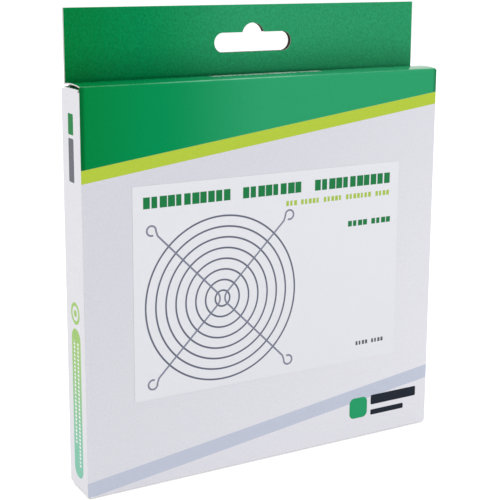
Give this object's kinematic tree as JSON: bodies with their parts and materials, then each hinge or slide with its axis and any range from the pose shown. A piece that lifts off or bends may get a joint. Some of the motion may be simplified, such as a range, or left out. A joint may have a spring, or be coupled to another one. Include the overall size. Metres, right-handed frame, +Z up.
{
  "type": "hanging retail carton holding a 120 mm wire fan guard",
  "caption": "Slim hanging paperboard carton with a euro-slot header, a tuck lid hinged on the front crease, a product label, and a welded wire fan guard inside",
  "frame": {"origin": "middle of the base, on the underside of the bottom", "axes": "+X to the right along the front panel, +Y to the back panel, +Z up to the header"},
  "size_m": [0.148, 0.0167, 0.17],
  "materials": {
    "printed_board": "gloss-varnished printed carton board, raw grey-white inside",
    "label_paper": "satin self-adhesive label paper",
    "plated_wire": "bright nickel-chrome plated steel wire"
  },
  "bodies": {
    "root": {"carton": "printed_board", "label": "label_paper", "guard_ring_1": "plated_wire", "guard_ring_2": "plated_wire", "guard_ring_3": "plated_wire", "guard_ring_4": "plated_wire", "guard_ring_5": "plated_wire", "guard_ring_6": "plated_wire", "guard_ring_7": "plated_wire", "guard_ring_8": "plated_wire", "guard_strut_left": "plated_wire", "guard_strut_right": "plated_wire"},
    "lid_body": {"lid": "printed_board"}
  },
  "joints": [
    {"name": "lid_crease", "type": "hinge", "parent": "root", "child": "lid_body", "pos_m": [0, -0.0074, 0.1441], "axis": [1, 0, 0], "range_deg": [0, 120]}
  ]
}
